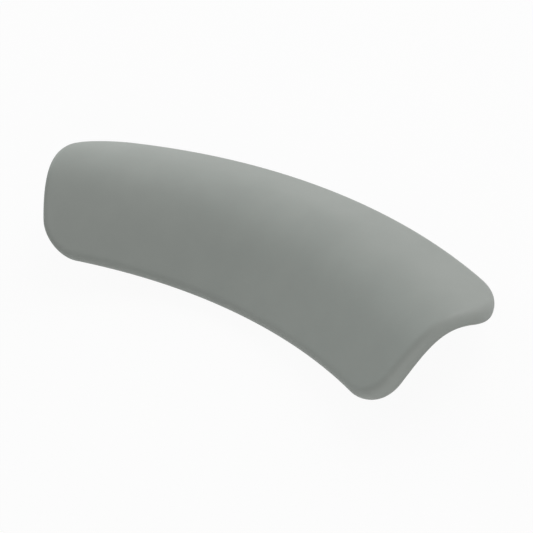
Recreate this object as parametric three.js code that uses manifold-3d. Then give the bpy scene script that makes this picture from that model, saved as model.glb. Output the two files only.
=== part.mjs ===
// Moulded bath pillow that hangs over the rim at the head end of a bath.
// Millimetres, +Z up, +X along the pillow. It lies on its two lips, head side up and towards -Y.
import * as THREE from 'three';
import { mergeVertices } from 'three/addons/utils/BufferGeometryUtils.js';
import Module from 'manifold-3d';

const wasm = await Module();
wasm.setup();

// Plan: the crown follows an arc round the bather's head
const CROWN_RADIUS = 414;
const CROWN_HALF_LENGTH = 193.8;
const END_BOW = 11.1;
const END_TAPER = 4.4;
const BACK_CORNER = 36;
const FRONT_CORNER = 29;

// Section: from the back lip on the rim, over the crown, down to the front lip in the bath
const SECTION_LENGTH = 145;
const CROWN_FROM_BACK = 61.1;
const CROWN_BLEND = 26.4;
const BACK_SLOPE = THREE.MathUtils.degToRad(-11);
const FRONT_SLOPE = THREE.MathUtils.degToRad(57.6);
const END_DROOP = THREE.MathUtils.degToRad(-5.5);

// Padding
const EDGE_THICKNESS = 15.2;
const WAIST_THICKNESS = 10.9;
const HEAD_ROLL = 8.3;
const PARTING_SHARE = 0.57;
const BATH_ROUND = 3.4;
const MIDDLE_THICKNESS = 22;
const SWELL_RUN = 24;
const SKIN = 2;
const PARTING_GAP = 0.3;
const LIP_FLAT = 0.5;
const FIT = 0.3;

// Carrier plate moulded into the foam
const CARRIER_INSET = 18;
const CARRIER_DEPTH = 8.6;
const CARRIER_THICKNESS = 2.5;
const BOSS_STEP = 0.8;
const BOSS_MARGIN = 1.8;
const LOCK_HOLE_RADIUS = 5;
const LOCK_HOLES_EACH_SIDE = 2;
const LAST_LOCK_HOLE_FROM_END = 65;

// Suction cups and what holds them in the carrier
const BACK_CUP_FROM_END = 72;
const BACK_CUP_FROM_LIP = 31;
const FRONT_CUP_FROM_END = 133;
const FRONT_CUP_FROM_LIP = 41;
const CUP_RADIUS = 14;
const CUP_PROUD = 2.5;
const CUP_WALL = 2.6;
const LIP_BAND = 1.4;
const LIP_FACE = 1.8;
const NECK_RADIUS = 4;
const SHOULDER_RADIUS = 7;
const CUP_HEAD_RADIUS = 6;
const CUP_HEAD_HEIGHT = 2.9;
const BELL_FULLNESS = 1;
const HOLLOW_FULLNESS = 4;
const TAB_REACH = 3;
const TAB_WIDTH = 8;
const TAB_THICKNESS = 1.2;
const POCKET_PLAY = 1;
const SOCKET_WALL = 1.4;
const SOCKET_ROOF = 2;
const SOCKET_CHAMFER = 0.6;
const FLANGE_LAP = 2;
const FLANGE_THICKNESS = 2;
const RING_THICKNESS = 1.5;
const RING_TOOTH = 1.2;
const RING_BAND = 2;
const RING_TEETH = 8;
const TOOTH_SHARE = 0.5;
const FLANK_SHARE = 0.1;
const BARREL_END = 0.8;

// Facets
const PAD_FACETS = { edge: 3, corner: 3, columns: 8, rows: 8 };
const CARRIER_FACETS = { edge: 0, corner: 2, columns: 6, rows: 9 };
const ROUND_SIDES = 16;
const HOLE_SIDES = 12;
const POST_SIDES = 8;
const CURVE_STEPS = 4;
const SECTION_STEPS = 24;
const TILT_PASSES = 10;

// Depths at a cup, measured from the head side along the cup's axis
const carrierBottom = CARRIER_DEPTH + CARRIER_THICKNESS;
const bossTop = CARRIER_DEPTH - BOSS_STEP;
const bossBottom = carrierBottom + BOSS_STEP;
const ringBottom = bossTop - FIT;
const ringTop = ringBottom - RING_THICKNESS;
const barrelTop = ringTop - BARREL_END;
const chamberTop = barrelTop + SOCKET_ROOF;
const cupHeadTop = chamberTop + FIT;
const cupHeadBottom = cupHeadTop + CUP_HEAD_HEIGHT;
const chamberBottom = cupHeadBottom + FIT;
const flangeTop = bossBottom + FIT;
const flangeBottom = Math.max(flangeTop, chamberBottom) + FLANGE_THICKNESS;
const pocketTop = flangeBottom + FIT;
const pocketFloor = pocketTop + SKIN;
const cupShoulder = pocketFloor + FIT;
const cupLip = MIDDLE_THICKNESS + CUP_PROUD;
const belowPad = cupLip + MIDDLE_THICKNESS;

// Radii at a cup
const mouthRadius = NECK_RADIUS + FIT;
const neckHoleRadius = mouthRadius + FIT;
const chamberRadius = CUP_HEAD_RADIUS + FIT;
const barrelRadius = chamberRadius + SOCKET_WALL;
const seatRadius = barrelRadius + FIT;
const flangeRadius = seatRadius + FLANGE_LAP;
const ringRadius = seatRadius + RING_TOOTH + RING_BAND;
const bossRadius = Math.max(flangeRadius, ringRadius) + BOSS_MARGIN;
const pocketRadius = CUP_RADIUS + TAB_REACH + POCKET_PLAY;
const pocketOuterRadius = pocketRadius + SKIN;

// Places along and across the pad
const backCup = { along: CROWN_HALF_LENGTH - BACK_CUP_FROM_END, across: BACK_CUP_FROM_LIP };
const frontCup = {
  along: CROWN_HALF_LENGTH - FRONT_CUP_FROM_END,
  across: SECTION_LENGTH - FRONT_CUP_FROM_LIP,
};
const cupSeats = [
  { name: 'back_left', along: -backCup.along, across: backCup.across },
  { name: 'back_right', along: backCup.along, across: backCup.across },
  { name: 'front_left', along: -frontCup.along, across: frontCup.across },
  { name: 'front_right', along: frontCup.along, across: frontCup.across },
];
const lockHolePitch = (CROWN_HALF_LENGTH - LAST_LOCK_HOLE_FROM_END) / LOCK_HOLES_EACH_SIDE;

// Section of the pillow in use: r outwards from the crown line, z up, depth measured into the pad
function slopeAt(across, endShare) {
  const blend = 0.5 * (1 + Math.tanh((across - CROWN_FROM_BACK) / CROWN_BLEND));
  const back = BACK_SLOPE + END_DROOP * endShare;
  return back + (FRONT_SLOPE - back) * blend;
}

function sectionPoint(along, across, depth) {
  const endShare = (along / CROWN_HALF_LENGTH) ** 2;
  const scale = 1 - (END_TAPER / SECTION_LENGTH) * endShare;
  const step = (across - CROWN_FROM_BACK) / SECTION_STEPS;
  let r = 0;
  let z = 0;
  for (let k = 0; k < SECTION_STEPS; k += 1) {
    const slope = slopeAt(CROWN_FROM_BACK + (k + 0.5) * step, endShare);
    r -= Math.cos(slope) * step;
    z -= Math.sin(slope) * step;
  }
  const slope = slopeAt(across, endShare);
  return {
    r: r * scale + depth * Math.sin(slope),
    z: z * scale - depth * Math.cos(slope),
    slope,
  };
}

// Outline of the pad, laid flat: a rectangle with rounded corners
function insideOutline(along, across) {
  const fromMiddle = across - SECTION_LENGTH / 2;
  const corner = fromMiddle < 0 ? BACK_CORNER : FRONT_CORNER;
  const x = Math.abs(along) - (CROWN_HALF_LENGTH - corner);
  const y = Math.abs(fromMiddle) - (SECTION_LENGTH / 2 - corner);
  const outside = Math.hypot(Math.max(x, 0), Math.max(y, 0)) + Math.min(Math.max(x, y), 0);
  return corner - outside;
}

function cornerDrop(corner, fromEnd) {
  const run = Math.max(corner - fromEnd, 0);
  return corner - Math.sqrt(Math.max(corner * corner - run * run, 0));
}

// The edge is thinnest where the pad bends over the rim and full at the lips
function edgeThickness(across) {
  const run = across < CROWN_FROM_BACK ? CROWN_FROM_BACK : SECTION_LENGTH - CROWN_FROM_BACK;
  const share = (across - CROWN_FROM_BACK) / run;
  return WAIST_THICKNESS + (EDGE_THICKNESS - WAIST_THICKNESS) * share * share;
}

function partingDepth(across) {
  return PARTING_SHARE * edgeThickness(across);
}

// Depth of the two faces of the pad, of the skins and of the foam, each set in from the outside
function edgeFill(fromBorder, run) {
  const left = THREE.MathUtils.clamp(1 - fromBorder / run, 0, 1);
  return Math.sqrt(1 - left * left);
}

function headDepth(along, across, inset) {
  const inside = insideOutline(along, across);
  const parting = partingDepth(across) - PARTING_GAP / 2;
  return parting - (parting - inset) * edgeFill(inside - inset, HEAD_ROLL - inset);
}

function bathDepth(along, across, inset) {
  const inside = insideOutline(along, across);
  const parting = partingDepth(across) + PARTING_GAP / 2;
  const edge = edgeThickness(across);
  const swell = THREE.MathUtils.smoothstep(inside, 0, SWELL_RUN);
  const full = edge + (MIDDLE_THICKNESS - edge) * swell;
  return parting + (full - parting - inset) * edgeFill(inside - inset, BATH_ROUND - inset);
}

// Places from one border to the other: close over the rounded edge, then even between the corners
function stations(length, edge, edgeSteps, corner, cornerSteps, middleSteps) {
  const start = [];
  for (let k = 0; k < edgeSteps; k += 1) {
    start.push(edge * (1 - Math.cos((k / edgeSteps) * (Math.PI / 2))));
  }
  for (let k = 0; k < cornerSteps; k += 1) {
    start.push(edge + ((corner - edge) * k) / cornerSteps);
  }
  const from = cornerSteps > 0 ? corner : edge;
  const middle = [];
  for (let k = 0; k <= middleSteps; k += 1) {
    middle.push(from + ((length - 2 * from) * k) / middleSteps);
  }
  const end = start.map((place) => length - place).reverse();
  return [...start, ...middle, ...end];
}

function rowStations(inset, facets) {
  const edge = facets.edge > 0 ? HEAD_ROLL - inset : 0;
  return stations(SECTION_LENGTH - 2 * inset, edge, facets.edge, 0, 0, facets.rows);
}

function columnStations(inset, facets) {
  const edge = facets.edge > 0 ? HEAD_ROLL - inset : 0;
  const corner = Math.max(BACK_CORNER, FRONT_CORNER) - inset;
  const length = 2 * (CROWN_HALF_LENGTH - inset);
  return stations(length, edge, facets.edge, corner, facets.corner, facets.columns);
}

// The pillow is laid down so that the lowest points of both lips stand on one level
function lowestOnLip(isBack, tilt) {
  let lowest = { height: Infinity };
  for (const across of rowStations(0, PAD_FACETS)) {
    if (across < CROWN_FROM_BACK === isBack) {
      const point = sectionPoint(0, across, bathDepth(0, across, 0));
      const height = point.z * Math.cos(tilt) - point.r * Math.sin(tilt);
      if (height < lowest.height) {
        lowest = { height, ...point };
      }
    }
  }
  return lowest;
}

function layDown() {
  let tilt = 0;
  for (let pass = 0; pass < TILT_PASSES; pass += 1) {
    const back = lowestOnLip(true, tilt);
    const front = lowestOnLip(false, tilt);
    tilt = Math.atan2(back.z - front.z, back.r - front.r);
  }
  const lift = -lowestOnLip(true, tilt).height - LIP_FLAT;
  return new THREE.Matrix4().makeRotationX(-tilt).setPosition(0, 0, lift);
}

const lying = layDown();

function turnAt(along, across) {
  const fromMiddle = (2 * across) / SECTION_LENGTH - 1;
  const bow = (END_BOW / CROWN_HALF_LENGTH) * (1 - fromMiddle * fromMiddle);
  return (along * (1 + bow)) / CROWN_RADIUS;
}

function padPoint(along, across, depth) {
  const { r, z } = sectionPoint(along, across, depth);
  const turn = turnAt(along, across);
  const radius = CROWN_RADIUS + r;
  const inUse = new THREE.Vector3(radius * Math.sin(turn), radius * Math.cos(turn) - CROWN_RADIUS, z);
  return inUse.applyMatrix4(lying);
}

// Local frame at a place on the pad: x along the pillow, y into the pad
function seatFrame(along, across) {
  const { slope } = sectionPoint(along, across, 0);
  const turn = turnAt(along, across);
  const x = new THREE.Vector3(Math.cos(turn), -Math.sin(turn), 0).transformDirection(lying);
  const inwards = new THREE.Vector3(
    Math.sin(slope) * Math.sin(turn),
    Math.sin(slope) * Math.cos(turn),
    -Math.cos(slope),
  ).transformDirection(lying);
  const z = new THREE.Vector3().crossVectors(x, inwards);
  return new THREE.Matrix4().makeBasis(x, inwards, z).setPosition(padPoint(along, across, 0));
}

// One curved sheet of the pad, as columns of points from the back lip to the front lip
function sheet(inset, facets, depthAt) {
  const half = CROWN_HALF_LENGTH - inset;
  const rows = rowStations(inset, facets);
  const width = rows[rows.length - 1];
  return columnStations(inset, facets).map((fromEnd) => {
    const along = fromEnd - half;
    const toEnd = half - Math.abs(along);
    const back = inset + cornerDrop(BACK_CORNER - inset, toEnd);
    const front = SECTION_LENGTH - inset - cornerDrop(FRONT_CORNER - inset, toEnd);
    return rows.map((row) => {
      const across = back + ((front - back) * row) / width;
      return padPoint(along, across, depthAt(along, across));
    });
  });
}

// Joins two like sheets with a rim into one closed body
function closeSheets(headSheet, bathSheet) {
  const columns = headSheet.length;
  const rows = headSheet[0].length;
  const points = [...headSheet.flat(), ...bathSheet.flat()];
  const head = (i, j) => i * rows + j;
  const bath = (i, j) => columns * rows + i * rows + j;
  const index = [];
  const quad = (a, b, c, d) => index.push(a, b, c, a, c, d);
  for (let i = 0; i + 1 < columns; i += 1) {
    for (let j = 0; j + 1 < rows; j += 1) {
      quad(head(i, j), head(i, j + 1), head(i + 1, j + 1), head(i + 1, j));
      quad(bath(i, j), bath(i + 1, j), bath(i + 1, j + 1), bath(i, j + 1));
    }
    quad(head(i, 0), head(i + 1, 0), bath(i + 1, 0), bath(i, 0));
    quad(head(i + 1, rows - 1), head(i, rows - 1), bath(i, rows - 1), bath(i + 1, rows - 1));
  }
  for (let j = 0; j + 1 < rows; j += 1) {
    quad(head(0, j + 1), head(0, j), bath(0, j), bath(0, j + 1));
    quad(head(columns - 1, j), head(columns - 1, j + 1), bath(columns - 1, j + 1), bath(columns - 1, j));
  }
  return new THREE.BufferGeometry().setFromPoints(points).setIndex(index);
}

// Closed geometry to a solid for cutting and joining, and back
function solidOf(geometry) {
  const bare = geometry.clone();
  bare.deleteAttribute('normal');
  bare.deleteAttribute('uv');
  const merged = mergeVertices(bare);
  const vertProperties = new Float32Array(merged.attributes.position.array);
  const triVerts = new Uint32Array(merged.index.array);
  return new wasm.Manifold(new wasm.Mesh({ numProp: 3, vertProperties, triVerts }));
}

function geometryOf(solid) {
  const { vertProperties, triVerts } = solid.getMesh();
  const geometry = new THREE.BufferGeometry();
  geometry.setAttribute('position', new THREE.BufferAttribute(vertProperties, 3));
  geometry.setIndex(new THREE.BufferAttribute(triVerts, 1));
  return geometry;
}

function round(radius, top, bottom, sides) {
  const geometry = new THREE.CylinderGeometry(radius, radius, bottom - top, sides);
  return geometry.translate(0, (top + bottom) / 2, 0);
}

function turned(profile) {
  const points = profile.map(([radius, depth]) => new THREE.Vector2(radius, depth));
  return new THREE.LatheGeometry(points, ROUND_SIDES);
}

function atEachSeat(geometry) {
  return wasm.Manifold.union(cupSeats.map((seat) => {
    return solidOf(geometry.clone().applyMatrix4(seatFrame(seat.along, seat.across)));
  }));
}

function padSolid(inset) {
  const head = sheet(inset, PAD_FACETS, (along, across) => headDepth(along, across, inset));
  const bath = sheet(inset, PAD_FACETS, (along, across) => bathDepth(along, across, inset));
  return solidOf(closeSheets(head, bath));
}

// Skin of the head side, down to the parting line round the edge
function headCover() {
  const outer = sheet(0, PAD_FACETS, (along, across) => headDepth(along, across, 0));
  const inner = sheet(SKIN, PAD_FACETS, (along, across) => headDepth(along, across, SKIN));
  return closeSheets(outer, inner);
}

// Skin of the underside, with a pocket for each cup and a flat on each lip
function rimLiner() {
  const inner = sheet(SKIN, PAD_FACETS, (along, across) => bathDepth(along, across, SKIN));
  const outer = sheet(0, PAD_FACETS, (along, across) => bathDepth(along, across, 0));
  const walls = atEachSeat(round(pocketOuterRadius, pocketTop, belowPad, HOLE_SIDES));
  const pockets = atEachSeat(round(pocketRadius, pocketFloor, belowPad, HOLE_SIDES));
  const neckHoles = atEachSeat(round(neckHoleRadius, barrelTop, belowPad, HOLE_SIDES));
  const table = new THREE.BoxGeometry(4 * CROWN_HALF_LENGTH, 4 * SECTION_LENGTH, SECTION_LENGTH);
  table.translate(0, 0, -SECTION_LENGTH / 2);
  return geometryOf(
    solidOf(closeSheets(inner, outer))
      .add(walls.intersect(padSolid(SKIN / 2)))
      .subtract(pockets)
      .subtract(neckHoles)
      .subtract(solidOf(table)),
  );
}

// Holes in the carrier that the foam flows through, in a row along the crown
function lockPosts(radius) {
  const posts = [];
  for (let k = -LOCK_HOLES_EACH_SIDE; k <= LOCK_HOLES_EACH_SIDE; k += 1) {
    const post = round(radius, 0, carrierBottom + CARRIER_DEPTH, POST_SIDES);
    posts.push(solidOf(post.applyMatrix4(seatFrame(k * lockHolePitch, CROWN_FROM_BACK))));
  }
  return wasm.Manifold.union(posts);
}

function carrierSheets(clearance) {
  const top = sheet(CARRIER_INSET - clearance, CARRIER_FACETS, () => CARRIER_DEPTH - clearance);
  const bottom = sheet(CARRIER_INSET - clearance, CARRIER_FACETS, () => carrierBottom + clearance);
  return solidOf(closeSheets(top, bottom));
}

function carrierPlate() {
  return geometryOf(
    carrierSheets(0)
      .add(atEachSeat(round(bossRadius, bossTop, bossBottom, HOLE_SIDES)))
      .subtract(atEachSeat(round(seatRadius, barrelTop, pocketTop, HOLE_SIDES)))
      .subtract(lockPosts(LOCK_HOLE_RADIUS)),
  );
}

// Foam between the skins, moulded round the carrier and through its holes
function foamCore() {
  const socketRooms = atEachSeat(round(bossRadius + FIT, barrelTop - FIT, pocketTop, HOLE_SIDES));
  const pocketRooms = atEachSeat(round(pocketOuterRadius + FIT, pocketTop - FIT, belowPad, HOLE_SIDES));
  const carrierRoom = carrierSheets(FIT).subtract(lockPosts(LOCK_HOLE_RADIUS - FIT));
  return geometryOf(
    padSolid(SKIN + FIT)
      .subtract(carrierRoom)
      .subtract(socketRooms)
      .subtract(pocketRooms),
  );
}

// Bush that a cup's head snaps into, pushed through the carrier from below
function cupSocket() {
  return turned([
    [0, barrelTop],
    [barrelRadius - SOCKET_CHAMFER, barrelTop],
    [barrelRadius, barrelTop + SOCKET_CHAMFER],
    [barrelRadius, flangeTop],
    [flangeRadius, flangeTop],
    [flangeRadius, flangeBottom],
    [mouthRadius, flangeBottom],
    [mouthRadius, chamberBottom],
    [chamberRadius, chamberBottom],
    [chamberRadius, chamberTop],
    [0, chamberTop],
  ]);
}

// Toothed spring washer that keeps a socket in the carrier
function lockRing() {
  const band = new THREE.Shape().absarc(0, 0, ringRadius, 0, 2 * Math.PI);
  const teeth = [];
  const toothTurn = (2 * Math.PI) / RING_TEETH;
  for (let k = 0; k < RING_TEETH; k += 1) {
    for (const [share, radius] of [
      [0, seatRadius],
      [TOOTH_SHARE, seatRadius],
      [TOOTH_SHARE + FLANK_SHARE, seatRadius + RING_TOOTH],
      [1 - FLANK_SHARE, seatRadius + RING_TOOTH],
    ]) {
      const turn = (k + share) * toothTurn;
      teeth.push(new THREE.Vector2(radius * Math.cos(turn), radius * Math.sin(turn)));
    }
  }
  band.holes.push(new THREE.Path(teeth));
  const ring = new THREE.ExtrudeGeometry(band, {
    depth: RING_THICKNESS,
    bevelEnabled: false,
    curveSegments: ROUND_SIDES / 2,
  });
  return ring.rotateX(Math.PI / 2).translate(0, ringBottom, 0);
}

// Soft cup: mushroom head, neck, bell with a flat lip, and a tab to peel it off by
function suctionCup(outwards) {
  const bell = new THREE.QuadraticBezierCurve(
    new THREE.Vector2(SHOULDER_RADIUS, cupShoulder),
    new THREE.Vector2(CUP_RADIUS - BELL_FULLNESS, cupShoulder + BELL_FULLNESS),
    new THREE.Vector2(CUP_RADIUS, cupLip - LIP_BAND),
  );
  const hollow = new THREE.QuadraticBezierCurve(
    new THREE.Vector2(CUP_RADIUS - LIP_FACE, cupLip),
    new THREE.Vector2(CUP_RADIUS - HOLLOW_FULLNESS, cupShoulder + CUP_WALL),
    new THREE.Vector2(0, cupShoulder + CUP_WALL),
  );
  const body = turned([
    [0, cupHeadTop],
    [CUP_HEAD_RADIUS / 2, cupHeadTop],
    [CUP_HEAD_RADIUS, cupHeadTop + CUP_HEAD_HEIGHT / 2],
    [CUP_HEAD_RADIUS, cupHeadBottom],
    [NECK_RADIUS, cupHeadBottom],
    [NECK_RADIUS, cupShoulder],
    ...bell.getPoints(CURVE_STEPS).map((point) => point.toArray()),
    [CUP_RADIUS, cupLip],
    ...hollow.getPoints(CURVE_STEPS).map((point) => point.toArray()),
  ]);
  const tip = CUP_RADIUS + TAB_REACH - TAB_WIDTH / 2;
  const tab = new THREE.Shape();
  tab.moveTo(CUP_RADIUS - LIP_FACE, -TAB_WIDTH / 2);
  tab.lineTo(tip, -TAB_WIDTH / 2);
  tab.absarc(tip, 0, TAB_WIDTH / 2, -Math.PI / 2, Math.PI / 2);
  tab.lineTo(CUP_RADIUS - LIP_FACE, TAB_WIDTH / 2);
  const plate = new THREE.ExtrudeGeometry(tab, {
    depth: TAB_THICKNESS,
    bevelEnabled: false,
    curveSegments: CURVE_STEPS,
  });
  plate.rotateX(Math.PI / 2).translate(0, cupLip - (LIP_BAND - TAB_THICKNESS) / 2, 0);
  if (outwards < 0) {
    plate.rotateY(Math.PI);
  }
  return geometryOf(solidOf(body).add(solidOf(plate)));
}

const pillow = new THREE.Group();

function addPiece(name, geometry, color, roughness, metalness = 0) {
  const mesh = new THREE.Mesh(geometry, new THREE.MeshStandardMaterial({ color, roughness, metalness }));
  mesh.name = name;
  pillow.add(mesh);
  return mesh;
}

addPiece('head_cover', headCover(), 0x989d99, 0.55);
addPiece('foam_core', foamCore(), 0xd9d5c6, 0.9);
addPiece('rim_liner', rimLiner(), 0x8f9490, 0.6);
addPiece('carrier_plate', carrierPlate(), 0xe6e6e2, 0.5);

for (const { name, along, across } of cupSeats) {
  const pieces = [
    addPiece(`cup_socket_${name}`, cupSocket(), 0xc9ccca, 0.45),
    addPiece(`lock_ring_${name}`, lockRing(), 0xb8babc, 0.3, 1),
    addPiece(`suction_cup_${name}`, suctionCup(Math.sign(along)), 0xb9bfbb, 0.25),
  ];
  for (const piece of pieces) {
    piece.applyMatrix4(seatFrame(along, across));
  }
}

// The origin lies under the middle of the pillow, on the surface it rests on
pillow.updateMatrixWorld(true);
const reach = new THREE.Box3().setFromObject(pillow, true);
pillow.position.y = -(reach.min.y + reach.max.y) / 2;

export default pillow;
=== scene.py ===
import math
import bmesh
import bpy
from mathutils import Matrix, Vector
from mathutils.geometry import interpolate_bezier


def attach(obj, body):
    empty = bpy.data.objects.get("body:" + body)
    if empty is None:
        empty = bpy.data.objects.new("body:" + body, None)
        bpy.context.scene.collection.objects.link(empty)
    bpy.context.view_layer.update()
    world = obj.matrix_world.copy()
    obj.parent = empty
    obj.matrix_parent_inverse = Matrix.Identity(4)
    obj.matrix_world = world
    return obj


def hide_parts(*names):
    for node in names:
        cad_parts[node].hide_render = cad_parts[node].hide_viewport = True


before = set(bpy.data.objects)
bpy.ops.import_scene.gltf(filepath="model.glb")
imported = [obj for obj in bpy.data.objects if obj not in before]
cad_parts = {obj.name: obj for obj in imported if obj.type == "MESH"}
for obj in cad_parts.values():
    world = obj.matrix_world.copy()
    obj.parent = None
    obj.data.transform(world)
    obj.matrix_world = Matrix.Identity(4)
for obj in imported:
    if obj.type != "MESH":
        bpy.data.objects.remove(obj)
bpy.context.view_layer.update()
scene = bpy.context.scene
scene.view_settings.view_transform = "Standard"
print("frame loaded,", len(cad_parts), "CAD nodes")

# Camera at the photograph's angle. The pillow lies on its lips, so the camera is rolled.
cameraSet = {
    "place": (0.652625, -0.363095, 0.796581),
    "turn": (39.2275, 19.7456, 38.6101),    # degrees
    "lens": 96.886,                         # mm
    "sensor": 36,
}
cameraData = bpy.data.cameras.new("camera")
cameraData.lens = cameraSet["lens"]
cameraData.sensor_width = cameraSet["sensor"]
camera = bpy.data.objects.new("camera", cameraData)
camera.location = cameraSet["place"]
camera.rotation_euler = [math.radians(angle) for angle in cameraSet["turn"]]
scene.collection.objects.link(camera)
scene.camera = camera
print("camera placed")

# The pad: a section that bends over the bath's rim, swept round the bather's head. Metres and degrees.
padForm = {
    "crownRadius": 0.414,           # of the crown, seen from above
    "halfLength": 0.1938,
    "endBow": 0.0111,               # how far each end swells out in its middle
    "endTaper": 0.0044,             # how much shorter the section is at the ends
    "backCorner": 0.036,
    "frontCorner": 0.029,
    "sectionLength": 0.145,         # from lip to lip over the crown
    "crownFromBack": 0.0611,
    "crownBlend": 0.0264,           # how gently the crown bends
    "backSlope": -11.0,
    "frontSlope": 57.6,
    "endDroop": -5.5,               # added to the back slope at the ends
    "lipThickness": 0.0152,
    "waistThickness": 0.0105,       # the waist is the edge where the pad bends
    "lipRoll": 0.0095,
    "waistRoll": 0.0075,
    "rollSoftness": 3,
    "lipParting": 0.57,             # share of the edge that is head cover
    "waistParting": 0.75,
    "bathRound": 0.0034,
    "roundSoftness": 2,
    "middleThickness": 0.022,
    "swellRun": 0.024,              # from the edge to the full thickness
    "sectionSteps": 24,
    "tilt": 29.9086,                # laid down on both lips
    "lift": 0.0399129,
    "shift": 0.0256901,
}
lying = (Matrix.Translation((0, padForm["shift"], padForm["lift"]))
         @ Matrix.Rotation(-math.radians(padForm["tilt"]), 4, "X"))


def slopeAt(across, endShare):
    blend = 0.5 * (1 + math.tanh((across - padForm["crownFromBack"]) / padForm["crownBlend"]))
    back = padForm["backSlope"] + padForm["endDroop"] * endShare
    return math.radians(back + (padForm["frontSlope"] - back) * blend)


def sectionPoint(along, across, depth):
    # follows the section's slope from the crown to the place across it
    endShare = (along / padForm["halfLength"]) ** 2
    scale = 1 - padForm["endTaper"] / padForm["sectionLength"] * endShare
    step = (across - padForm["crownFromBack"]) / padForm["sectionSteps"]
    outwards, upwards = 0, 0
    for k in range(padForm["sectionSteps"]):
        slope = slopeAt(padForm["crownFromBack"] + (k + 0.5) * step, endShare)
        outwards -= math.cos(slope) * step
        upwards -= math.sin(slope) * step
    slope = slopeAt(across, endShare)
    outwards = outwards * scale + depth * math.sin(slope)
    upwards = upwards * scale - depth * math.cos(slope)
    return outwards, upwards, slope


def turnAt(along, across):
    fromMiddle = 2 * across / padForm["sectionLength"] - 1
    bow = padForm["endBow"] / padForm["halfLength"] * (1 - fromMiddle ** 2)
    return along * (1 + bow) / padForm["crownRadius"]


def padPoint(along, across, depth):
    outwards, upwards, slope = sectionPoint(along, across, depth)
    turn = turnAt(along, across)
    radius = padForm["crownRadius"] + outwards
    inUse = Vector((radius * math.sin(turn), radius * math.cos(turn) - padForm["crownRadius"], upwards))
    return lying @ inUse


def seatFrame(along, across):
    # x along the pillow, y into the pad
    slope = sectionPoint(along, across, 0)[2]
    turn = turnAt(along, across)
    turning = lying.to_3x3()
    x = turning @ Vector((math.cos(turn), -math.sin(turn), 0))
    sideways, down = math.sin(slope), -math.cos(slope)
    inwards = turning @ Vector((sideways * math.sin(turn), sideways * math.cos(turn), down))
    z = x.cross(inwards)
    seat = Matrix((x, inwards, z)).transposed().to_4x4()
    seat.translation = padPoint(along, across, 0)
    return seat


def insideOutline(along, across):
    # distance in from the border of the pad laid flat, a rectangle with rounded corners
    fromMiddle = across - padForm["sectionLength"] / 2
    corner = padForm["backCorner"] if fromMiddle < 0 else padForm["frontCorner"]
    x = abs(along) - (padForm["halfLength"] - corner)
    y = abs(fromMiddle) - (padForm["sectionLength"] / 2 - corner)
    return corner - math.hypot(max(x, 0), max(y, 0)) - min(max(x, y), 0)


def edgeFill(fromBorder, run, softness):
    # 0 at the border and 1 where the round of the edge ends
    left = min(max(1 - fromBorder / run, 0), 1)
    return math.sqrt(1 - left ** softness)


def waistToLip(across, waist, lip):
    # from its value where the pad bends to its value at the lips
    crown = padForm["crownFromBack"]
    run = crown if across < crown else padForm["sectionLength"] - crown
    share = (across - crown) / run
    return waist + (lip - waist) * share * share


def edgeThickness(across):
    return waistToLip(across, padForm["waistThickness"], padForm["lipThickness"])


def partingDepth(across):
    return edgeThickness(across) * waistToLip(across, padForm["waistParting"], padForm["lipParting"])


def headDepth(along, across, inset, gap):
    # depth of the head side's surface, or of one that lies inset under it
    inside = insideOutline(along, across)
    parting = partingDepth(across) - gap / 2
    roll = waistToLip(across, padForm["waistRoll"], padForm["lipRoll"])
    return parting - (parting - inset) * edgeFill(inside - inset, roll - inset, padForm["rollSoftness"])


def bathDepth(along, across, inset, gap):
    inside = insideOutline(along, across)
    edge = edgeThickness(across)
    parting = partingDepth(across) + gap / 2
    share = min(max(inside / padForm["swellRun"], 0), 1)
    swell = share * share * (3 - 2 * share)
    full = edge + (padForm["middleThickness"] - edge) * swell
    fill = edgeFill(inside - inset, padForm["bathRound"] - inset, padForm["roundSoftness"])
    return parting + (full - parting - inset) * fill


def cornerDrop(corner, toEnd):
    # how far the outline has turned in at a rounded corner
    run = max(corner - toEnd, 0)
    return corner - math.sqrt(max(corner * corner - run * run, 0))


def flatSheet(inset, columns, rows):
    # a grid laid flat over the pad's outline: x is the place along it, y the place across it
    form = bmesh.new()
    bmesh.ops.create_grid(form, x_segments=columns, y_segments=rows, size=1)
    half = padForm["halfLength"] - inset
    for vert in form.verts:
        along = half * math.sin(vert.co.x * math.pi / 2)    # closer together at the borders
        toEnd = half - abs(along)
        back = inset + cornerDrop(padForm["backCorner"] - inset, toEnd)
        front = padForm["sectionLength"] - inset - cornerDrop(padForm["frontCorner"] - inset, toEnd)
        share = 0.5 + 0.5 * math.sin(vert.co.y * math.pi / 2)
        vert.co = (along, back + (front - back) * share, 0)
    return form


def wrapSheet(form, depthAt):
    for vert in form.verts:
        along, across = vert.co.x, vert.co.y
        vert.co = padPoint(along, across, depthAt(along, across))
    return form


def wrapBathSide(form, inset, gap):
    wrapSheet(form, lambda along, across: bathDepth(along, across, inset, gap))
    for vert in form.verts:
        vert.co.z = max(vert.co.z, inset)       # the flats that it lies on
    return form


def addForm(form, other):
    mesh = bpy.data.meshes.new("other")
    other.to_mesh(mesh)
    other.free()
    form.from_mesh(mesh)
    bpy.data.meshes.remove(mesh)


def bridgeBorders(form, chosen=lambda edge: True):
    # a wall between two open borders
    borders = [edge for edge in form.edges if edge.is_boundary and chosen(edge)]
    bmesh.ops.bridge_loops(form, edges=borders)


def closeSheets(form, other):
    addForm(form, other)
    bridgeBorders(form)
    bmesh.ops.recalc_face_normals(form, faces=form.faces)
    return form


turnedSet = {"mergeDistance": 1e-6, "bevelSegments": 2, "bevelAngle": 45}


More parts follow.
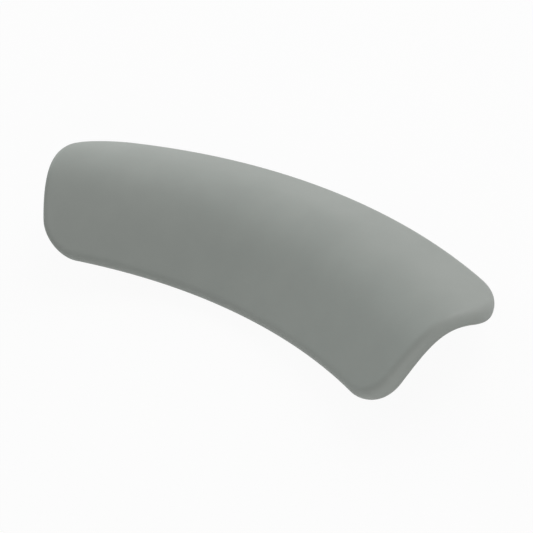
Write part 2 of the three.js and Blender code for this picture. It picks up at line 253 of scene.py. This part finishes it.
def turnedForm(points, steps, closed=False):
    # a half section of radius and depth, spun round the seat's axis
    form = bmesh.new()
    section = [form.verts.new((radius, depth, 0)) for radius, depth in points]
    pairs = list(zip(section, section[1:]))
    if closed:
        pairs.append((section[-1], section[0]))
    edges = [form.edges.new(pair) for pair in pairs]
    bmesh.ops.spin(form, geom=section + edges, cent=(0, 0, 0), axis=(0, 1, 0), angle=2 * math.pi,
                   steps=steps, use_merge=True)
    bmesh.ops.remove_doubles(form, verts=form.verts, dist=turnedSet["mergeDistance"])
    bmesh.ops.recalc_face_normals(form, faces=form.faces)
    return form


def roundPost(form, seat, radius, top, bottom, sides):
    # a cylinder on the seat's axis, between two depths
    turned = Matrix.Translation((0, (top + bottom) / 2, 0)) @ Matrix.Rotation(math.pi / 2, 4, "X")
    bmesh.ops.create_cone(form, cap_ends=True, segments=sides, radius1=radius, radius2=radius,
                          depth=bottom - top, matrix=seatFrame(seat["along"], seat["across"]) @ turned)


def postAtEachCup(name, radius, top, bottom, sides):
    form = bmesh.new()
    for seat in cupSeats:
        roundPost(form, seat, radius, top, bottom, sides)
    return makeObject(form, name)


def applyModifiers(piece):
    shaped = piece.evaluated_get(bpy.context.evaluated_depsgraph_get())
    mesh = bpy.data.meshes.new_from_object(shaped)
    piece.modifiers.clear()
    old = piece.data
    piece.data = mesh
    bpy.data.meshes.remove(old)


def combine(piece, other, operation):
    boolean = piece.modifiers.new("combine", "BOOLEAN")
    boolean.operation = operation
    boolean.solver = "EXACT"
    boolean.object = other
    applyModifiers(piece)
    bpy.data.objects.remove(other)


def roundEdges(piece, width):
    rounded = piece.modifiers.new("edges", "BEVEL")
    rounded.width = width
    rounded.segments = turnedSet["bevelSegments"]
    rounded.limit_method = "ANGLE"
    rounded.angle_limit = math.radians(turnedSet["bevelAngle"])
    applyModifiers(piece)


def smoothFaces(piece, angle):
    piece.data.shade_smooth()
    piece.data.set_sharp_from_angle(angle=math.radians(angle))


def makeObject(form, name, material=None):
    mesh = bpy.data.meshes.new(name)
    form.to_mesh(mesh)
    form.free()
    piece = bpy.data.objects.new(name, mesh)
    scene.collection.objects.link(piece)
    if material:
        mesh.materials.append(material)
    return piece


def fitPiece(piece, body, node):
    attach(piece, body)
    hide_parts(node)
    print(node, "modelled with", len(piece.data.polygons), "faces")


# Node group shared by the moulded pieces: pores, slow tone and fine speckle
grainSet = {
    "counts": {"pores": "Pores per metre", "patches": "Patches per metre", "speckle": "Speckle per metre"},
    "poreSmoothness": 0.35,
    "poreShare": 0.6,
    "rippleDetail": 3,
    "toneDetail": 4,
    "toneRoughness": 0.55,
    "speckleDetail": 2,
    "toneRange": (0.35, 0.65),
    "speckleRange": (0.3, 0.7),
}


def makeMouldedGrain():
    group = bpy.data.node_groups.new("mouldedGrain", "ShaderNodeTree")
    face = group.interface
    face.new_socket(name="Vector", in_out="INPUT", socket_type="NodeSocketVector")
    counts = grainSet["counts"]
    for name in counts.values():
        face.new_socket(name=name, in_out="INPUT", socket_type="NodeSocketFloat")
    for name in ("Height", "Tone", "Speckle"):
        face.new_socket(name=name, in_out="OUTPUT", socket_type="NodeSocketFloat")
    nodes, links = group.nodes, group.links
    start = nodes.new("NodeGroupInput")
    end = nodes.new("NodeGroupOutput")
    pores = nodes.new("ShaderNodeTexVoronoi")
    pores.feature = "SMOOTH_F1"
    pores.inputs["Smoothness"].default_value = grainSet["poreSmoothness"]
    ripple = nodes.new("ShaderNodeTexNoise")
    ripple.inputs["Detail"].default_value = grainSet["rippleDetail"]
    tone = nodes.new("ShaderNodeTexNoise")
    tone.inputs["Detail"].default_value = grainSet["toneDetail"]
    tone.inputs["Roughness"].default_value = grainSet["toneRoughness"]
    speckle = nodes.new("ShaderNodeTexNoise")
    speckle.inputs["Detail"].default_value = grainSet["speckleDetail"]
    mixed = nodes.new("ShaderNodeMath")
    mixed.operation = "MULTIPLY_ADD"
    mixed.inputs[1].default_value = grainSet["poreShare"]
    for texture, key in ((pores, "pores"), (ripple, "pores"), (tone, "patches"), (speckle, "speckle")):
        links.new(start.outputs["Vector"], texture.inputs["Vector"])
        links.new(start.outputs[counts[key]], texture.inputs["Scale"])
    links.new(pores.outputs["Distance"], mixed.inputs[0])
    links.new(ripple.outputs["Fac"], mixed.inputs[2])
    links.new(mixed.outputs[0], end.inputs["Height"])
    links.new(tone.outputs["Fac"], end.inputs["Tone"])
    links.new(speckle.outputs["Fac"], end.inputs["Speckle"])
    return group


mouldedGrain = makeMouldedGrain()


def mouldedMaterial(name, finish):
    material = bpy.data.materials.new(name)
    material.use_nodes = True
    nodes, links = material.node_tree.nodes, material.node_tree.links
    shader = nodes["Principled BSDF"]
    place = nodes.new("ShaderNodeTexCoord")
    grain = nodes.new("ShaderNodeGroup")
    grain.node_tree = mouldedGrain
    for key, label in grainSet["counts"].items():
        grain.inputs[label].default_value = finish[key]
    links.new(place.outputs["Object"], grain.inputs["Vector"])
    patch = nodes.new("ShaderNodeMapRange")
    tint = nodes.new("ShaderNodeMix")
    tint.data_type = "RGBA"
    tint.inputs["A"].default_value = (*finish["dark"], 1)
    tint.inputs["B"].default_value = (*finish["light"], 1)
    gloss = nodes.new("ShaderNodeMapRange")
    for node, span in ((patch, grainSet["toneRange"]), (gloss, grainSet["speckleRange"])):
        node.inputs["From Min"].default_value, node.inputs["From Max"].default_value = span
    gloss.inputs["To Min"].default_value, gloss.inputs["To Max"].default_value = finish["roughness"]
    bump = nodes.new("ShaderNodeBump")
    bump.inputs["Strength"].default_value = finish["bump"]
    bump.inputs["Distance"].default_value = finish["depth"]
    links.new(grain.outputs["Tone"], patch.inputs["Value"])
    links.new(patch.outputs["Result"], tint.inputs["Factor"])
    links.new(tint.outputs["Result"], shader.inputs["Base Color"])
    links.new(grain.outputs["Speckle"], gloss.inputs["Value"])
    links.new(gloss.outputs["Result"], shader.inputs["Roughness"])
    links.new(grain.outputs["Height"], bump.inputs["Height"])
    links.new(bump.outputs["Normal"], shader.inputs["Normal"])
    for socket, value in finish.get("sockets", {}).items():
        shader.inputs[socket].default_value = value
    return material


# Head cover: the skin of the head side, down to the parting line
headCoverSet = {
    "columns": 220,
    "rows": 96,
    "skin": 0.002,
    "partingGap": 0.00002,      # a hair line between the skins
    "sharpAngle": 50,
    "fill": 0.9,
}
skinColors = {"dark": (0.318, 0.342, 0.321), "light": (0.336, 0.360, 0.338)}     # of both skins
headSkin = mouldedMaterial("headSkin", {
    **skinColors,
    "pores": 1100, "patches": 22, "speckle": 1700,
    "roughness": (0.50, 0.60), "bump": 0.25, "depth": 0.00012,
    "sockets": {"Specular IOR Level": 0.35},
})


def makeHeadCover():
    gap = headCoverSet["partingGap"]
    sheets = []
    for inset in (0, headCoverSet["skin"]):
        flat = flatSheet(inset, headCoverSet["columns"], headCoverSet["rows"])
        sheets.append(wrapSheet(flat, lambda along, across: headDepth(along, across, inset, gap)))
    cover = makeObject(closeSheets(*sheets), "headCover", headSkin)
    smoothFaces(cover, headCoverSet["sharpAngle"])
    fitPiece(cover, "pad", "head_cover")


makeHeadCover()

# Places of the cups, from the ends of the pad and from the back lip
cupRows = {
    "back": {"fromEnd": 0.072, "across": 0.031},
    "front": {"fromEnd": 0.133, "across": 0.104},
}
cupSeats = []
for row, place in cupRows.items():
    for side, sign in (("left", -1), ("right", 1)):
        along = sign * (padForm["halfLength"] - place["fromEnd"])
        cupSeats.append({"node": row + "_" + side, "along": along, "across": place["across"]})

# Rim liner: the skin of the underside, with a pocket for each cup
linerSet = {
    "columns": 200,
    "rows": 80,
    "skin": 0.002,
    "window": 0.0235,           # half the square that is cleared for a pocket
    "windowRings": 5,
    "searchSteps": 20,
    "pocketRadius": 0.018,
    "pocketFloor": 0.0165,
    "rimRound": 0.0022,
    "rimLeast": 0.0004,
    "rimShare": 0.6,            # of the wall over the foot, where a pocket is shallow
    "footRound": 0.0007,
    "footShare": 0.5,           # of the wall, where a pocket is shallow
    "neckHole": 0.0046,
    "roundSteps": 5,
    "floorRings": 4,
    "sharpAngle": 50,
    "fill": 0.9,
}
linerSkin = mouldedMaterial("linerSkin", {
    **skinColors,
    "pores": 800, "patches": 18, "speckle": 1500,
    "roughness": (0.55, 0.68), "bump": 0.3, "depth": 0.00015,
    "sockets": {"Specular IOR Level": 0.3},
})


def bathSide(along, across, inset):
    return padPoint(along, across, bathDepth(along, across, inset, headCoverSet["partingGap"]))


def placeOnBathSide(seat, local, inset, x, z):
    # the place on the pad whose point on the bath side lies at x, z in the seat's frame
    along, across = seat["along"] + x, seat["across"] - z
    for step in range(linerSet["searchSteps"]):
        point = local @ bathSide(along, across, inset)
        along += x - point.x
        across -= z - point.z
    return along, across


def nearAxis(edge, local, reach):
    points = [local @ vert.co for vert in edge.verts]
    return all(math.hypot(point.x, point.z) < reach for point in points)


def rimRound(inset):
    return max(linerSet["rimRound"] - inset, linerSet["rimLeast"])


def openWindow(form, seat, inset):
    # clears a square of the flat sheet and draws its border in to a circle
    reach = linerSet["window"] + inset
    rim = linerSet["pocketRadius"] + inset + rimRound(inset)
    local = seatFrame(seat["along"], seat["across"]).inverted()
    left, right = (placeOnBathSide(seat, local, inset, x, 0)[0] for x in (-reach, reach))
    back, front = (placeOnBathSide(seat, local, inset, 0, z)[1] for z in (reach, -reach))
    cleared = []
    for face in form.faces:
        middle = face.calc_center_median()
        if left < middle.x < right and back < middle.y < front:
            cleared.append(face)
    inside = set(cleared)
    border = [edge for edge in form.edges if sum(face in inside for face in edge.link_faces) == 1]
    bmesh.ops.delete(form, geom=cleared, context="FACES")
    targets = {}
    for vert in {vert for edge in border for vert in edge.verts}:
        point = local @ bathSide(vert.co.x, vert.co.y, inset)
        angle = math.atan2(point.z, point.x)
        target = placeOnBathSide(seat, local, inset, rim * math.cos(angle), rim * math.sin(angle))
        targets[vert.co.copy().freeze()] = target
    starts = {key: key for key in targets}
    for ring in range(1, linerSet["windowRings"] + 1):
        share = ring / linerSet["windowRings"]
        drawn = bmesh.ops.extrude_edge_only(form, edges=border)["geom"]
        moved = {}
        for vert in (item for item in drawn if isinstance(item, bmesh.types.BMVert)):
            start = starts[vert.co.copy().freeze()]
            along, across = targets[start]
            vert.co = (start.x + (along - start.x) * share, start.y + (across - start.y) * share, 0)
            moved[vert.co.copy().freeze()] = start
        starts = moved
        border = [item for item in drawn if isinstance(item, bmesh.types.BMEdge) and item.is_boundary]


def sinkPocket(form, seat, inset):
    # draws the open circle down into a pocket with a rounded rim and floor
    seatPlace = seatFrame(seat["along"], seat["across"])
    local = seatPlace.inverted()
    radius, floor = linerSet["pocketRadius"] + inset, linerSet["pocketFloor"] - inset
    reach = linerSet["window"] + inset
    border = [edge for edge in form.edges if edge.is_boundary and nearAxis(edge, local, reach)]
    quarter = [math.pi / 2 * k / linerSet["roundSteps"] for k in range(linerSet["roundSteps"] + 1)]
    # each ring's part of the pocket, how far in it lies and how far down
    rings = [("rim", 1 - math.sin(angle), 1 - math.cos(angle)) for angle in quarter[1:]]
    rings += [("foot", 1 - math.cos(angle), 1 - math.sin(angle)) for angle in quarter]
    rings += [("floor", (k + 1) / linerSet["floorRings"], 0) for k in range(linerSet["floorRings"])]
    depths = {}
    for vert in {vert for edge in border for vert in edge.verts}:
        point = local @ vert.co
        depths[math.atan2(point.z, point.x)] = point.y
    for part, inwards, drop in rings:
        drawn = bmesh.ops.extrude_edge_only(form, edges=border)["geom"]
        for vert in (item for item in drawn if isinstance(item, bmesh.types.BMVert)):
            point = local @ vert.co
            angle = math.atan2(point.z, point.x)
            top = depths[min(depths, key=lambda known: abs(known - angle))]
            foot = min(linerSet["footRound"] + inset, linerSet["footShare"] * (top - floor))
            rim = min(rimRound(inset), linerSet["rimShare"] * (top - floor - foot))
            if part == "rim":
                away, depth = radius + rim * inwards, top - rim * drop
            elif part == "foot":
                away, depth = radius - foot * inwards, floor + foot * drop
            else:
                away, depth = radius - foot + (linerSet["neckHole"] - radius + foot) * inwards, floor
            vert.co = seatPlace @ Vector((away * math.cos(angle), depth, away * math.sin(angle)))
        border = [item for item in drawn if isinstance(item, bmesh.types.BMEdge) and item.is_boundary]


def linerSheet(inset):
    form = flatSheet(inset, linerSet["columns"], linerSet["rows"])
    for seat in cupSeats:
        openWindow(form, seat, inset)
    wrapBathSide(form, inset, headCoverSet["partingGap"])
    for seat in cupSeats:
        sinkPocket(form, seat, inset)
    return form


def makeRimLiner():
    form = linerSheet(0)
    addForm(form, linerSheet(linerSet["skin"]))
    for seat in cupSeats:
        local = seatFrame(seat["along"], seat["across"]).inverted()
        bridgeBorders(form, lambda edge: nearAxis(edge, local, linerSet["pocketRadius"]))
    bridgeBorders(form)
    bmesh.ops.recalc_face_normals(form, faces=form.faces)
    liner = makeObject(form, "rimLiner", linerSkin)
    smoothFaces(liner, linerSet["sharpAngle"])
    fitPiece(liner, "pad", "rim_liner")


makeRimLiner()

# Suction cups: mushroom head, neck, bell with a flat lip, and a peel tab
cupSet = {
    "steps": 64,
    "curveSteps": 9,
    "headTop": 0.0075,
    "headBottom": 0.0104,
    "headRadius": 0.006,
    "headFlat": 0.0022,         # radius of the flat on top of the head
    "neckRadius": 0.004,
    "shoulder": 0.0168,
    "shoulderRadius": 0.007,
    "wall": 0.0026,
    "bellFullness": 0.001,
    "hollowFullness": 0.004,
    "lip": 0.0245,
    "lipRadius": 0.014,
    "lipFace": 0.0018,
    "lipBand": 0.0014,
    "tabReach": 0.003,
    "tabWidth": 0.0076,
    "near": 0.00001,            # of the lip's outer band, where the tab grows
    "edgeRound": 0.00025,
    "sharpAngle": 45,
}
cupRubber = mouldedMaterial("cupRubber", {
    "dark": (0.50, 0.53, 0.515),
    "light": (0.55, 0.58, 0.565),
    "pores": 350, "patches": 60, "speckle": 900,
    "roughness": (0.24, 0.34), "bump": 0.08, "depth": 0.0001,
    "sockets": {"Specular IOR Level": 0.5, "Subsurface Weight": 0.15, "Subsurface Scale": 0.004},
})


def curveBetween(start, bend, end):
    start, bend, end = (Vector((*point, 0)) for point in (start, bend, end))
    leaving, reaching = start.lerp(bend, 2 / 3), end.lerp(bend, 2 / 3)
    curve = interpolate_bezier(start, leaving, reaching, end, cupSet["curveSteps"])
    return [point.xy for point in curve]


def cupSection():
    # from the top of the head, over the bell and round the lip, to the hollow
    headTop, headBottom, headRadius = cupSet["headTop"], cupSet["headBottom"], cupSet["headRadius"]
    headMiddle = (headTop + headBottom) / 2
    neck, shoulder, fullness = cupSet["neckRadius"], cupSet["shoulder"], cupSet["bellFullness"]
    lip, lipRadius = cupSet["lip"], cupSet["lipRadius"]
    hollow = shoulder + cupSet["wall"]
    return [
        (0, headTop),
        *curveBetween((cupSet["headFlat"], headTop), (headRadius, headTop), (headRadius, headMiddle)),
        (headRadius, headBottom),
        (neck, headBottom),
        (neck, shoulder),
        *curveBetween((cupSet["shoulderRadius"], shoulder), (lipRadius - fullness, shoulder + fullness),
                      (lipRadius, lip - cupSet["lipBand"])),
        (lipRadius, lip),
        *curveBetween((lipRadius - cupSet["lipFace"], lip), (lipRadius - cupSet["hollowFullness"], hollow),
                      (0, hollow)),
    ]


def makeCup(seat):
    form = turnedForm(cupSection(), cupSet["steps"])
    outwards = math.copysign(1, seat["along"])
    half = cupSet["tabWidth"] / 2
    bandTop = cupSet["lip"] - cupSet["lipBand"]
    near = cupSet["near"]

    def behindTab(vert):
        onRim = math.hypot(vert.co.x, vert.co.z) > cupSet["lipRadius"] - near
        onBand = onRim and vert.co.y > bandTop - near
        return onBand and abs(vert.co.z) < half + near and vert.co.x * outwards > 0

    band = [face for face in form.faces if all(behindTab(vert) for vert in face.verts)]
    drawn = bmesh.ops.extrude_face_region(form, geom=band)["geom"]
    bmesh.ops.delete(form, geom=band, context="FACES")
    tip = cupSet["lipRadius"] + cupSet["tabReach"] - half
    for vert in (item for item in drawn if isinstance(item, bmesh.types.BMVert)):
        vert.co.x = outwards * (tip + math.sqrt(max(half * half - vert.co.z ** 2, 0)))
    bmesh.ops.recalc_face_normals(form, faces=form.faces)
    bmesh.ops.transform(form, matrix=seatFrame(seat["along"], seat["across"]), verts=form.verts)
    cup = makeObject(form, "suctionCup_" + seat["node"], cupRubber)
    roundEdges(cup, cupSet["edgeRound"])
    smoothFaces(cup, cupSet["sharpAngle"])
    fitPiece(cup, "cup_" + seat["node"], "suction_cup_" + seat["node"])


for seat in cupSeats:
    makeCup(seat)

# Carrier plate in the foam: a boss round each cup's seat, and holes that the foam flows through
carrierSet = {
    "columns": 90,
    "rows": 36,
    "inset": 0.018,
    "top": 0.0086,
    "bottom": 0.0111,
    "bossRadius": 0.013,
    "bossTop": 0.0078,
    "bossBottom": 0.0119,
    "seatRadius": 0.008,
    "lockRadius": 0.005,
    "lastLockFromEnd": 0.065,
    "locksEachSide": 2,
    "cutReach": 0.006,          # of a hole's cutter past the plate
    "sides": 64,
    "sharpAngle": 35,
}
carrierPlastic = mouldedMaterial("carrierPlastic", {
    "dark": (0.70, 0.70, 0.67),
    "light": (0.76, 0.76, 0.73),
    "pores": 600, "patches": 30, "speckle": 1200,
    "roughness": (0.42, 0.52), "bump": 0.12, "depth": 0.00008,
})


def carrierBlank(name, clearance, material=None):
    # the plate without its seats, or the room for it in the foam
    sheets = []
    for depth in (carrierSet["top"] - clearance, carrierSet["bottom"] + clearance):
        flat = flatSheet(carrierSet["inset"] - clearance, carrierSet["columns"], carrierSet["rows"])
        sheets.append(wrapSheet(flat, lambda along, across: depth))
    blank = makeObject(closeSheets(*sheets), name, material)
    posts = bmesh.new()
    pitch = (padForm["halfLength"] - carrierSet["lastLockFromEnd"]) / carrierSet["locksEachSide"]
    reach = carrierSet["cutReach"]
    top, bottom = carrierSet["top"] - reach, carrierSet["bottom"] + reach
    for k in range(-carrierSet["locksEachSide"], carrierSet["locksEachSide"] + 1):
        place = {"along": k * pitch, "across": padForm["crownFromBack"]}
        roundPost(posts, place, carrierSet["lockRadius"] - clearance, top, bottom, carrierSet["sides"])
    combine(blank, makeObject(posts, "lockPosts"), "DIFFERENCE")
    return blank


def makeCarrier():
    plate = carrierBlank("carrierPlate", 0, carrierPlastic)
    top, bottom, sides = carrierSet["bossTop"], carrierSet["bossBottom"], carrierSet["sides"]
    bosses = postAtEachCup("bosses", carrierSet["bossRadius"], top, bottom, sides)
    combine(plate, bosses, "UNION")
    reach = carrierSet["cutReach"]
    seats = postAtEachCup("seats", carrierSet["seatRadius"], top - reach, bottom + reach, sides)
    combine(plate, seats, "DIFFERENCE")
    smoothFaces(plate, carrierSet["sharpAngle"])
    fitPiece(plate, "pad", "carrier_plate")


makeCarrier()

# Sockets: bushes that the cups' heads snap into
socketSet = {
    "steps": 64,
    "barrelTop": 0.0052,
    "barrelRadius": 0.0077,
    "chamfer": 0.0006,
    "flangeTop": 0.0122,
    "flangeBottom": 0.0142,
    "flangeRadius": 0.01,
    "mouthRadius": 0.0043,
    "chamberTop": 0.0072,
    "chamberBottom": 0.0107,
    "chamberRadius": 0.0063,
    "edgeRound": 0.0002,
    "sharpAngle": 40,
}
socketPlastic = mouldedMaterial("socketPlastic", {
    "dark": (0.56, 0.585, 0.57),
    "light": (0.61, 0.635, 0.62),
    "pores": 500, "patches": 80, "speckle": 1000,
    "roughness": (0.34, 0.44), "bump": 0.08, "depth": 0.00006,
})


def makeSocket(seat):
    barrel, barrelTop, chamfer = socketSet["barrelRadius"], socketSet["barrelTop"], socketSet["chamfer"]
    form = turnedForm([
        (0, barrelTop),
        (barrel - chamfer, barrelTop),
        (barrel, barrelTop + chamfer),
        (barrel, socketSet["flangeTop"]),
        (socketSet["flangeRadius"], socketSet["flangeTop"]),
        (socketSet["flangeRadius"], socketSet["flangeBottom"]),
        (socketSet["mouthRadius"], socketSet["flangeBottom"]),
        (socketSet["mouthRadius"], socketSet["chamberBottom"]),
        (socketSet["chamberRadius"], socketSet["chamberBottom"]),
        (socketSet["chamberRadius"], socketSet["chamberTop"]),
        (0, socketSet["chamberTop"]),
    ], socketSet["steps"])
    bmesh.ops.transform(form, matrix=seatFrame(seat["along"], seat["across"]), verts=form.verts)
    socket = makeObject(form, "cupSocket_" + seat["node"], socketPlastic)
    roundEdges(socket, socketSet["edgeRound"])
    smoothFaces(socket, socketSet["sharpAngle"])
    fitPiece(socket, "pad", "cup_socket_" + seat["node"])


# Lock rings: toothed spring washers that keep the sockets in the carrier
ringSet = {
    "teeth": 8,
    "stepsPerTooth": 20,
    "top": 0.006,
    "bottom": 0.0075,
    "innerRadius": 0.008,
    "bandRadius": 0.0092,
    "outerRadius": 0.0112,
    "toothShare": 0.5,          # of a tooth and its gap
    "flankShare": 0.1,
    "sharpAngle": 30,
}
ringSteel = mouldedMaterial("ringSteel", {
    "dark": (0.60, 0.61, 0.62),
    "light": (0.68, 0.69, 0.70),
    "pores": 1500, "patches": 120, "speckle": 2500,
    "roughness": (0.24, 0.36), "bump": 0.06, "depth": 0.00004,
    "sockets": {"Metallic": 1.0},
})


def makeRing(seat):
    inner, band, outer = ringSet["innerRadius"], ringSet["bandRadius"], ringSet["outerRadius"]
    top, bottom, count = ringSet["top"], ringSet["bottom"], ringSet["stepsPerTooth"]
    section = [(inner, top), (outer, top), (outer, bottom), (inner, bottom)]
    steps = ringSet["teeth"] * count
    form = turnedForm(section, steps, closed=True)
    for vert in form.verts:
        if math.hypot(vert.co.x, vert.co.z) < band:
            angle = math.atan2(vert.co.z, vert.co.x)
            share = round(angle * steps / (2 * math.pi)) % count / count
            rise = (share - ringSet["toothShare"]) / ringSet["flankShare"]
            fall = (1 - share) / ringSet["flankShare"]
            gap = min(max(min(rise, fall), 0), 1)       # 1 between two teeth
            scale = 1 + (band / inner - 1) * gap
            vert.co = (vert.co.x * scale, vert.co.y, vert.co.z * scale)
    bmesh.ops.transform(form, matrix=seatFrame(seat["along"], seat["across"]), verts=form.verts)
    ring = makeObject(form, "lockRing_" + seat["node"], ringSteel)
    smoothFaces(ring, ringSet["sharpAngle"])
    fitPiece(ring, "pad", "lock_ring_" + seat["node"])


for seat in cupSeats:
    makeSocket(seat)
    makeRing(seat)

# Foam core: between the skins, moulded round the carrier and through its holes
foamSet = {
    "columns": 110,
    "rows": 52,
    "inset": 0.0026,
    "borderGap": 0.0002,
    "fit": 0.0003,              # round the carrier, the sockets and the pockets' floors
    "pocketFit": 0.0009,
    "roomReach": 0.001,         # of a socket's room into its pocket's
    "pocketReach": 0.0323,      # of a pocket's room, out past the underside
    "sides": 64,
    "sharpAngle": 35,
    "fill": 1,
}
foamBody = mouldedMaterial("foamBody", {
    "dark": (0.66, 0.63, 0.53),
    "light": (0.74, 0.71, 0.61),
    "pores": 500, "patches": 40, "speckle": 900,
    "roughness": (0.85, 0.97), "bump": 0.8, "depth": 0.0006,
    "sockets": {"Specular IOR Level": 0.2},
})


def makeFoamCore():
    inset, gap = foamSet["inset"], foamSet["borderGap"]
    headSheet = flatSheet(inset, foamSet["columns"], foamSet["rows"])
    bathSheet = flatSheet(inset, foamSet["columns"], foamSet["rows"])
    wrapSheet(headSheet, lambda along, across: headDepth(along, across, inset, gap))
    wrapBathSide(bathSheet, inset, gap)
    foam = makeObject(closeSheets(headSheet, bathSheet), "foamCore", foamBody)
    fit, sides = foamSet["fit"], foamSet["sides"]
    combine(foam, carrierBlank("carrierRoom", fit), "DIFFERENCE")
    pocketTop = linerSet["pocketFloor"] - linerSet["skin"] - fit
    pocketRadius = linerSet["pocketRadius"] + linerSet["skin"] + foamSet["pocketFit"]
    roomTop, roomBottom = socketSet["barrelTop"] - fit, pocketTop + foamSet["roomReach"]
    rooms = postAtEachCup("socketRooms", carrierSet["bossRadius"] + fit, roomTop, roomBottom, sides)
    combine(foam, rooms, "DIFFERENCE")
    pocketBottom = pocketTop + foamSet["pocketReach"]
    pockets = postAtEachCup("pocketRooms", pocketRadius, pocketTop, pocketBottom, sides)
    combine(foam, pockets, "DIFFERENCE")
    smoothFaces(foam, foamSet["sharpAngle"])
    fitPiece(foam, "pad", "foam_core")


makeFoamCore()

# Floor, world and lamps
studioSet = {
    "floorHalf": 4,
    "floorGap": 0.0002,         # under the pillow
    "floorColor": (0.80, 0.80, 0.80, 1),
    "floorWhite": 0.94,         # share of plain white in what the camera sees of the floor
    "worldStrength": 0.25,
    "lamps": [
        {"name": "key", "power": 26, "size": 1.6, "place": (0.3, 1.55, 1.25), "color": (1, 0.975, 0.985)},
        {"name": "leftFill", "power": 7.7, "size": 1, "place": (-1.6, 0.4, 0.8), "color": (0.92, 1, 0.975)},
        {"name": "frontFill", "power": 8.8, "size": 1, "place": (1.2, -1.2, 0.6), "color": (1, 0.99, 0.98)},
    ],
}


def seenDirectly(nodes, links):
    # 1 for what the camera sees, also in a shiny or clear piece
    path = nodes.new("ShaderNodeLightPath")
    total = path.outputs["Is Camera Ray"]
    for ray in ("Is Glossy Ray", "Is Transmission Ray"):
        either = nodes.new("ShaderNodeMath")
        either.operation = "MAXIMUM"
        links.new(total, either.inputs[0])
        links.new(path.outputs[ray], either.inputs[1])
        total = either.outputs[0]
    return path, total


def makeFloor():
    form = bmesh.new()
    bmesh.ops.create_grid(form, x_segments=1, y_segments=1, size=studioSet["floorHalf"],
                          matrix=Matrix.Translation((0, 0, -studioSet["floorGap"])))
    material = bpy.data.materials.new("paleFloor")
    material.use_nodes = True
    nodes, links = material.node_tree.nodes, material.node_tree.links
    nodes.remove(nodes["Principled BSDF"])
    surface = nodes.new("ShaderNodeBsdfDiffuse")
    surface.inputs["Color"].default_value = studioSet["floorColor"]
    white = nodes.new("ShaderNodeEmission")
    path, direct = seenDirectly(nodes, links)
    seen = nodes.new("ShaderNodeMath")
    seen.operation = "MULTIPLY"
    seen.inputs[1].default_value = studioSet["floorWhite"]
    mixed = nodes.new("ShaderNodeMixShader")
    links.new(direct, seen.inputs[0])
    links.new(seen.outputs[0], mixed.inputs["Fac"])
    links.new(surface.outputs[0], mixed.inputs[1])
    links.new(white.outputs[0], mixed.inputs[2])
    # from below only, the camera looks through the floor
    side = nodes.new("ShaderNodeNewGeometry")
    below = nodes.new("ShaderNodeMath")
    below.operation = "MULTIPLY"
    clear = nodes.new("ShaderNodeBsdfTransparent")
    shown = nodes.new("ShaderNodeMixShader")
    links.new(path.outputs["Is Camera Ray"], below.inputs[0])
    links.new(side.outputs["Backfacing"], below.inputs[1])
    links.new(below.outputs[0], shown.inputs["Fac"])
    links.new(mixed.outputs[0], shown.inputs[1])
    links.new(clear.outputs[0], shown.inputs[2])
    links.new(shown.outputs[0], nodes["Material Output"].inputs["Surface"])
    makeObject(form, "floor", material)


def makeLight():
    world = bpy.data.worlds.new("studio")
    scene.world = world
    world.use_nodes = True
    nodes, links = world.node_tree.nodes, world.node_tree.links
    soft = nodes["Background"]
    soft.inputs["Color"].default_value = (1, 1, 1, 1)
    soft.inputs["Strength"].default_value = studioSet["worldStrength"]
    white = nodes.new("ShaderNodeBackground")
    white.inputs["Color"].default_value = (1, 1, 1, 1)
    mixed = nodes.new("ShaderNodeMixShader")
    links.new(seenDirectly(nodes, links)[1], mixed.inputs["Fac"])
    links.new(soft.outputs[0], mixed.inputs[1])
    links.new(white.outputs[0], mixed.inputs[2])
    links.new(mixed.outputs[0], nodes["World Output"].inputs["Surface"])
    for lamp in studioSet["lamps"]:
        data = bpy.data.lights.new(lamp["name"], "AREA")
        data.energy = lamp["power"]
        data.size = lamp["size"]
        data.color = lamp["color"]
        light = bpy.data.objects.new(lamp["name"], data)
        light.location = lamp["place"]
        light.rotation_euler = (-light.location).to_track_quat("-Z", "Y").to_euler()
        scene.collection.objects.link(light)


makeFloor()
makeLight()
print("studio set")
